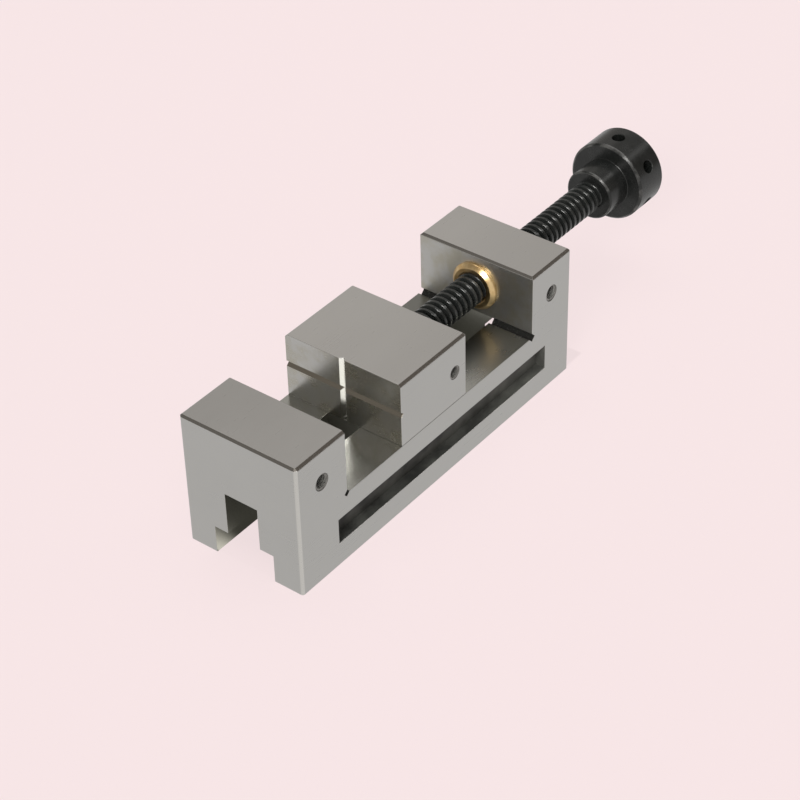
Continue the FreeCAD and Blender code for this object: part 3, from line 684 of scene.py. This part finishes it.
make_ground_piece("vise_body", "vise", BED_Z)
make_ground_piece("movable_jaw", "jaw", BED_Z + 0.03)
make_ground_piece("keeper_plate", "jaw")
make_hole_threads()
make_lead_screw()
make_nut()
make_knob()

for node, material in (
        ("keeper_screw_front", screw_black), ("keeper_screw_rear", screw_black),
        ("keeper_washer_front", washer_steel), ("keeper_washer_rear", washer_steel),
        ("thrust_pad", washer_steel), ("nut_lock_screw_left", screw_black),
        ("nut_lock_screw_right", screw_black), ("retaining_screw_left", screw_black),
        ("retaining_screw_right", screw_black), ("knob_set_screw", screw_black)):
    for place in nodes[node].material_slots:
        place.material = material


# Floor, light and camera

PALE_PINK = (0.9387, 0.7991, 0.8070, 1.0)


def stage_plane(name, half_size, place, material):
    """A flat square that belongs to the stage, scaled and placed by a matrix in millimetres."""
    def grid(work):
        bmesh.ops.create_grid(work, x_segments=1, y_segments=1, size=half_size)
    plane = in_scene(name, mesh_from(name, grid, place))
    plane.data.materials.append(material)
    return plane


def make_floor():
    """A wide pale floor that glows by itself."""
    material = bpy.data.materials.new("floor_pale")
    graph = Graph(material)
    graph.finish(graph.principled(
        Base_Color=tuple(0.10 * part for part in PALE_PINK[:3]) + (1,), Roughness=1.0,
        Specular_IOR_Level=0.0, Emission_Color=PALE_PINK, Emission_Strength=0.888))
    floor = stage_plane("floor", 6000, Matrix.Translation((0, 0, -0.02)), material)
    floor.visible_glossy = False


def make_card():
    """The shaded ground under the vise as its mirrors see it, light only at the mouth of the way."""
    low = FRONT_X + 1
    high = REAR_X + 11
    material = bpy.data.materials.new("card_dark")
    graph = Graph(material)
    x = graph.split(graph.node("ShaderNodeTexCoord", output=3))[0] / MM
    deep = x.smooth(low, low + 11)
    glow = 1.0 - 0.7 * graph.node("ShaderNodeNewGeometry", output=6)
    at_mouth = graph.mix(glow, (0, 0, 0, 1), (1.0, 0.97, 0.92, 1))
    graph.finish(graph.principled(
        Base_Color=(0.03, 0.03, 0.03, 1), Roughness=1.0, Specular_IOR_Level=0.0, Emission_Strength=1.55,
        Emission_Color=graph.mix(deep, at_mouth, (0.055, 0.054, 0.047, 1))))
    size = Matrix.Diagonal(((high - low) / 2, HALF_WIDTH - 1, 1, 1))
    place = Matrix.Translation(((low + high) / 2, 0, -0.01)) @ size
    card = stage_plane("card", 1, place, material)
    card.visible_camera = False


# Soft sources of the studio: direction, cosines where each starts and is full, and colour
SOURCES = (
    ((0.62, 0.49, 0.61), 0.55, 0.9, (0.37, 0.35, 0.33, 1)),
    ((0.66, 0.47, 0.585), 0.978, 0.999, (0.62, 0.59, 0.56, 1)),
    ((0.1, 0.0, 1.0), 0.75, 0.95, (0.9, 0.88, 0.85, 1)),
    ((-0.507, -0.599, 0.619), 0.94, 0.98, (2.1, 2.05, 1.98, 1)),
    ((0.617, -0.37, 0.69), 0.990, 0.997, (4.0, 3.95, 3.85, 1)),
    ((-0.78, -0.27, 0.56), 0.984, 0.995, (24.0, 23.7, 23.0, 1)),
)


def make_world():
    """A studio: grey below, dark above, soft sources round the vise, and a pale backdrop."""
    world = bpy.data.worlds.new("studio")
    scene.world = world
    graph = Graph(world)
    direction = graph.node("ShaderNodeTexCoord", output=0)
    ahead, _, height = graph.split(direction)

    def lobe(toward, start, full):
        facing = graph.vector("DOT_PRODUCT", direction, Vector(toward).normalized(), output=1)
        return facing.smooth(start, full)

    front_left = lobe((-0.491, -0.617, -0.614), 0.72, 0.96)
    below = graph.mix(front_left, (0.68, 0.67, 0.66, 1), (0.92, 0.90, 0.87, 1))
    low_sky = (1.0 - height.smooth(0.12, 0.44)) * (1.0 - ahead.smooth(-0.2, 0.4))
    above = graph.mix(ahead.smooth(-0.5, 0.1), (0.30, 0.285, 0.265, 1), (0.15, 0.132, 0.115, 1))
    above = graph.mix(low_sky, above, (0.72, 0.70, 0.68, 1))
    for toward, first, full, colour in SOURCES:
        above = graph.mix(lobe(toward, first, full), above, colour)
    studio = graph.mix(height.smooth(-0.12, 0.06), below, above)
    lit = graph.node("ShaderNodeBackground", None, {"Color": studio})
    backdrop = graph.node("ShaderNodeBackground", None, {"Color": PALE_PINK, "Strength": 1.0})
    seen = graph.node("ShaderNodeLightPath")
    graph.finish(graph.node("ShaderNodeMixShader", None, [seen, lit, backdrop]), "ShaderNodeOutputWorld")


def add_light(name, place, target, size, energy):
    """A rectangular soft light at a place, facing a target."""
    data = bpy.data.lights.new(name, "AREA")
    data.shape = "RECTANGLE"
    data.size, data.size_y = size
    data.energy = energy
    light = in_scene(name, data)
    light.location = place
    light.rotation_euler = (Vector(target) - Vector(place)).to_track_quat("-Z", "Y").to_euler()


def make_camera():
    """The photograph's camera, as fitted on the straight edges of the block."""
    azimuth, elevation, roll = math.radians(-51.50), math.radians(37.88), math.radians(-1.559)
    back = Vector((math.sin(azimuth) * math.cos(elevation),
                   -math.cos(azimuth) * math.cos(elevation), math.sin(elevation)))
    right = (-back).cross(Vector((0, 0, 1))).normalized()
    up = right.cross(-back)
    turned_right = math.cos(roll) * right + math.sin(roll) * up
    turned_up = -math.sin(roll) * right + math.cos(roll) * up
    data = bpy.data.cameras.new("camera")
    data.lens = 103.04
    data.sensor_width = 36
    data.clip_start = 0.01
    camera = in_scene("camera", data)
    middle = Vector((-0.046, 0, 0.025))
    distance = 0.799
    position = middle + 0.00974 * turned_right + 0.00162 * turned_up + distance * back
    turn = Matrix((turned_right, turned_up, back)).transposed()
    camera.matrix_world = Matrix.Translation(position) @ turn.to_4x4()
    scene.camera = camera


make_floor()
make_card()
make_world()
add_light("overhead", (0.15, 0.05, 0.9), (0, 0, 0), (0.9, 0.5), 2.0)
make_camera()
scene.view_settings.view_transform = "Standard"
